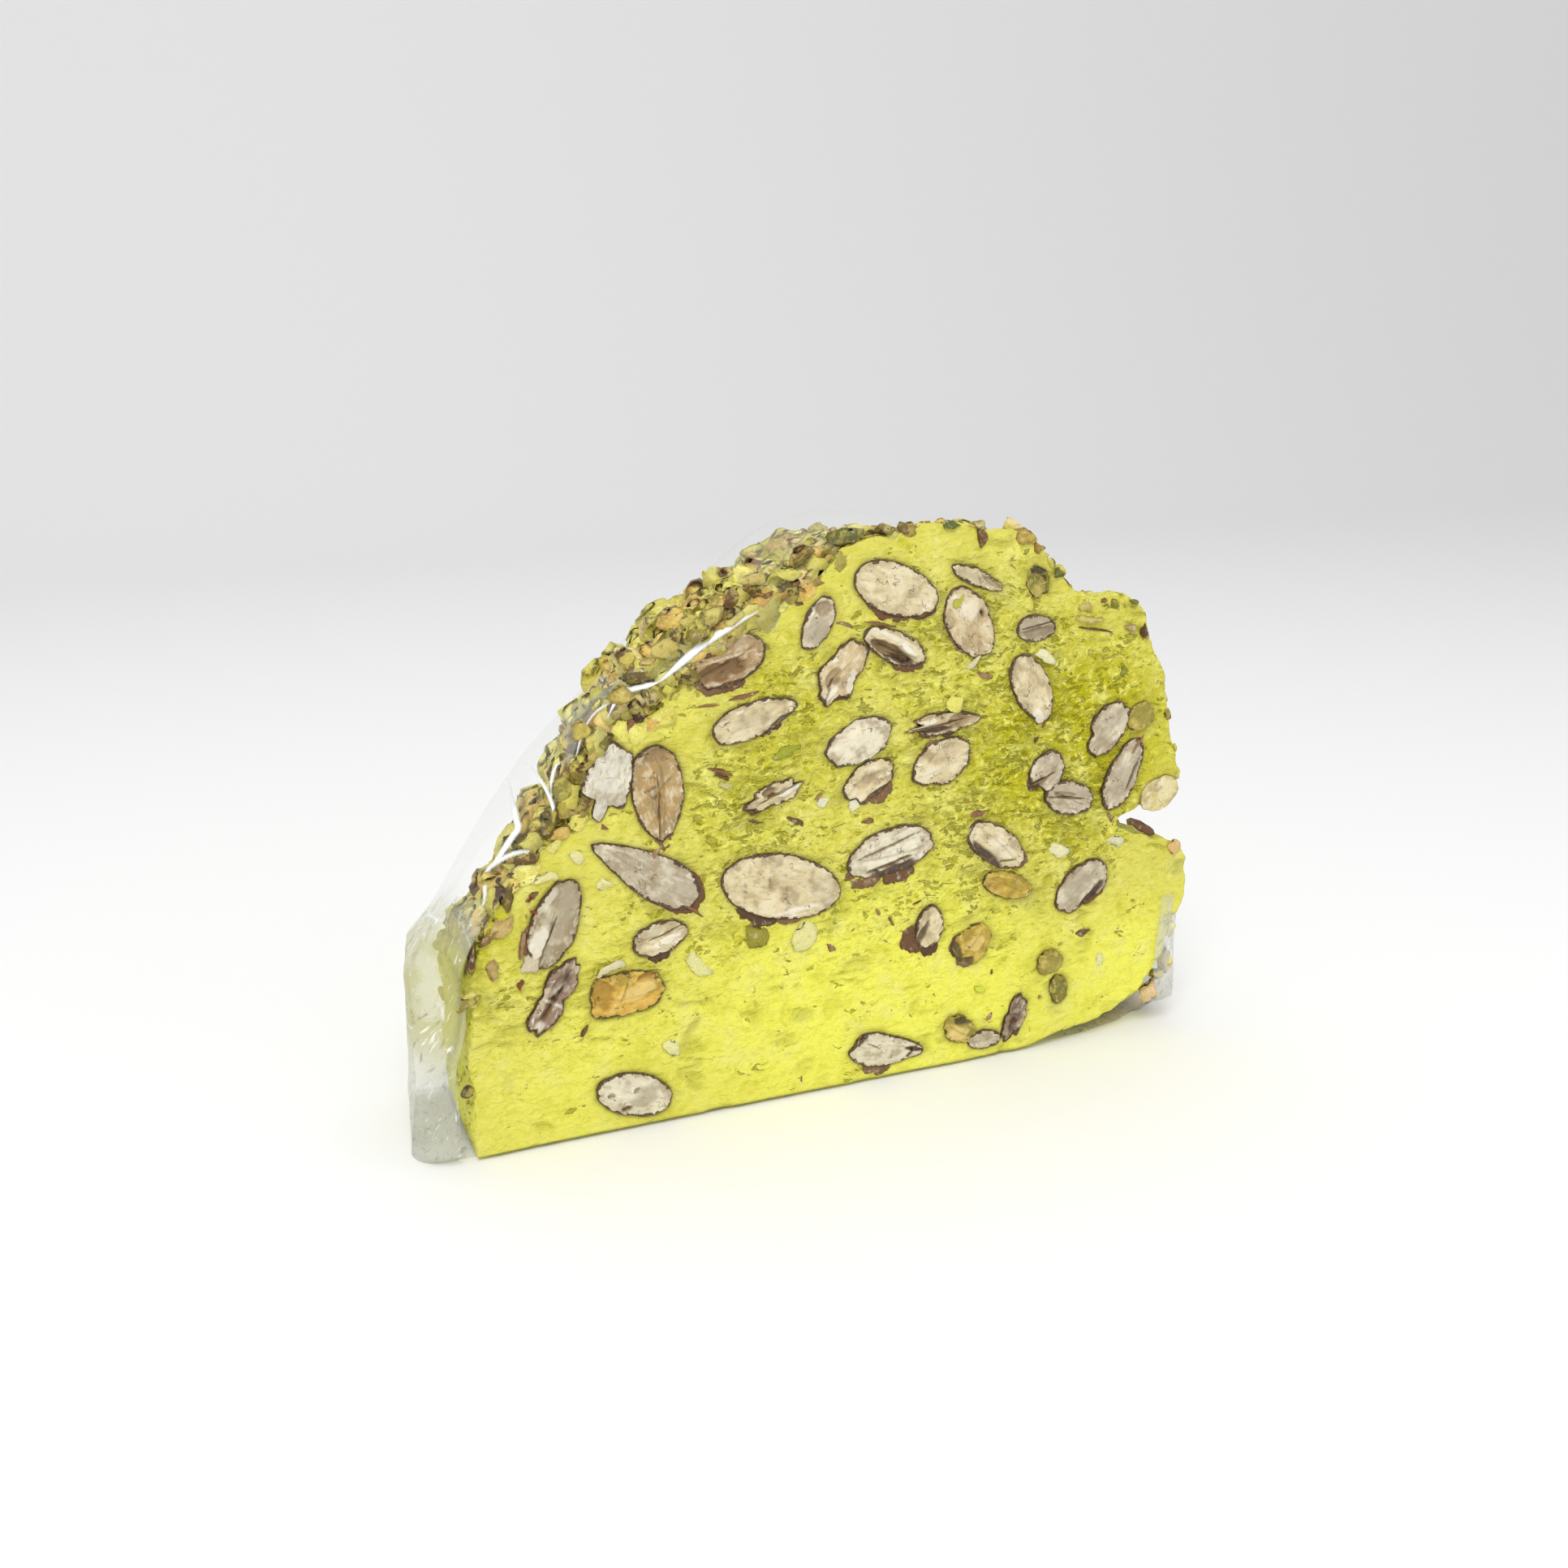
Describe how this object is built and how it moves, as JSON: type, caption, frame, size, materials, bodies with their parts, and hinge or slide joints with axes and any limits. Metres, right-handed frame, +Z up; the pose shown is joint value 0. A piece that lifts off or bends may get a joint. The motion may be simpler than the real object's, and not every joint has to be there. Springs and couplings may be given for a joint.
{
  "type": "pistachio torrone slice",
  "caption": "Thick cut slice of a domed pistachio nougat loaf: flat face full of cut nuts, chopped nut crust outside, clear film left under it, up its side and over its back.",
  "frame": {"origin": "middle of the underside of the whole piece, on the surface it stands on", "axes": "+Z up, the cut face looks along -Y, +X to the right when one looks at the cut face"},
  "size_m": [0.1718, 0.036, 0.1149],
  "materials": {
    "nougat": "soft matte nougat with knife tears",
    "almond": "cut almond flesh with brown skin",
    "pistachio": "cut pistachio, olive to golden",
    "film": "clear creased plastic film"
  },
  "bodies": {
    "root": {"nougat": "nougat", "film": "film", "almond_01": "almond", "almond_02": "almond", "almond_03": "almond", "almond_04": "almond", "almond_05": "almond", "almond_06": "almond", "almond_07": "almond", "almond_08": "almond", "almond_09": "almond", "almond_10": "almond", "almond_11": "almond", "almond_12": "almond", "almond_13": "almond", "almond_14": "almond", "almond_15": "almond", "almond_16": "almond", "almond_17": "almond", "almond_18": "almond", "almond_19": "almond", "almond_20": "almond", "almond_21": "almond", "almond_22": "almond", "almond_23": "almond", "almond_24": "almond", "almond_25": "almond", "almond_26": "almond", "almond_27": "almond", "almond_28": "almond", "almond_29": "almond", "almond_30": "almond", "almond_31": "almond", "almond_32": "almond", "almond_33": "almond", "almond_34": "almond", "almond_35": "almond", "pistachio_01": "pistachio", "pistachio_02": "pistachio", "pistachio_03": "pistachio", "pistachio_04": "pistachio", "pistachio_05": "pistachio", "pistachio_06": "pistachio", "pistachio_07": "pistachio", "pistachio_08": "pistachio", "back_almond_1": "almond", "back_almond_2": "almond", "back_almond_3": "almond", "back_almond_4": "almond", "back_almond_5": "almond", "back_almond_6": "almond", "back_almond_7": "almond", "back_almond_8": "almond"}
  },
  "joints": []
}
